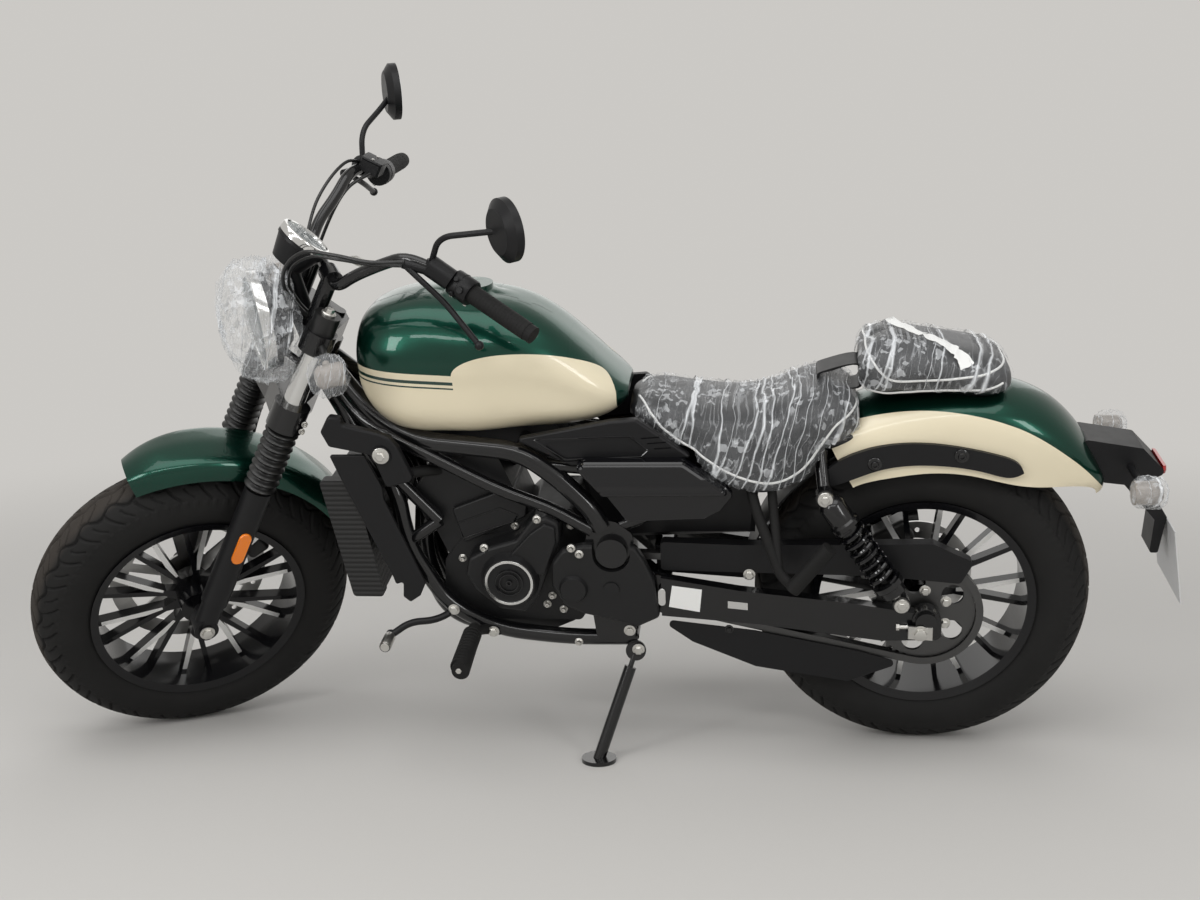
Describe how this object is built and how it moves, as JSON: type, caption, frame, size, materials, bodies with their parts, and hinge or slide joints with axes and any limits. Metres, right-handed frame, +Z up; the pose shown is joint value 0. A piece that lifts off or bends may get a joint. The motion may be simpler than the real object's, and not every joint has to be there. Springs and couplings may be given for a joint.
{
  "type": "cruiser motorcycle",
  "caption": "Parked cruiser motorcycle on its side stand, with free wheels, steering and a folding stand.",
  "frame": {"origin": "centre of the parked machine's bounding box, on the ground", "axes": "+X forward along the machine, +Y to its left, +Z up; it leans 12 degrees to its left on its side stand"},
  "size_m": [2.2436, 0.7625, 1.3663],
  "materials": {
    "black_frame": "satin black powder coat",
    "black_alloy": "black painted casting",
    "green_paint": "dark metallic green with cream panel",
    "seat_leather": "black leather with white piping",
    "tyre": "black rubber with road tread",
    "black_plastic": "moulded black plastic",
    "gloss_black_plastic": "gloss black plastic",
    "chrome": "hard chrome",
    "steel": "bare steel",
    "rubber": "black ribbed rubber",
    "black_steel": "heat-proof black",
    "lamp": "clear lens in a black shell",
    "amber": "amber lens in a black shell"
  },
  "bodies": {
    "frame": {"main_frame": "black_frame", "swingarm": "black_frame", "engine": "black_alloy", "stator_cover": "black_alloy", "sprocket_cover": "black_plastic", "clutch_cover": "black_alloy", "radiator": "black_alloy", "radiator_shroud": "black_plastic", "fuel_tank": "green_paint", "side_panels": "black_plastic", "airbox_covers": "gloss_black_plastic", "rider_seat": "seat_leather", "pillion_seat": "seat_leather", "rear_fender": "green_paint", "fender_rails": "black_alloy", "tail_lamp": "black_plastic", "number_plate": "black_alloy", "rear_signals": "amber", "exhaust": "black_steel", "pegs": "black_alloy", "foot_controls": "black_frame", "shock_absorbers": "black_steel", "chain_guards": "black_plastic", "drive_chain": "steel", "rear_caliper": "black_alloy"},
    "rear_wheel": {"rear_tyre": "tyre", "rear_rim": "black_alloy", "rear_disc": "steel", "rear_sprocket": "steel"},
    "fork": {"fork_yokes": "black_alloy", "fork_tubes": "chrome", "fork_boots": "rubber", "fork_sliders": "black_alloy", "front_fender": "green_paint", "handlebar": "black_frame", "grips": "rubber", "hand_levers": "black_alloy", "mirrors": "black_plastic", "headlamp": "lamp", "meter": "black_plastic", "front_signals": "amber", "front_caliper": "black_alloy"},
    "front_wheel": {"front_tyre": "tyre", "front_rim": "black_alloy", "front_disc": "steel"},
    "side_stand": {"side_stand": "black_frame"}
  },
  "joints": [
    {"name": "steering", "type": "hinge", "parent": "frame", "child": "fork", "pos_m": [0.51888, 0.03991, 0.79884], "axis": [-0.4496, 0.1857, 0.8737], "range_deg": [-64, 0]},
    {"name": "front_wheel_spin", "type": "hinge", "parent": "fork", "child": "front_wheel", "pos_m": [0.83245, -0.03317, 0.29702], "axis": [-0.4733, 0.78, -0.4094], "continuous": true},
    {"name": "rear_wheel_spin", "type": "hinge", "parent": "frame", "child": "rear_wheel", "pos_m": [-0.6447, -0.0621, 0.3189], "axis": [0, 0.9781, -0.2079], "continuous": true},
    {"name": "stand_fold", "type": "hinge", "parent": "frame", "child": "side_stand", "pos_m": [-0.08896, 0.04207, 0.21258], "axis": [0.0017, 0.9903, 0.1392], "range_deg": [0, 96]}
  ]
}
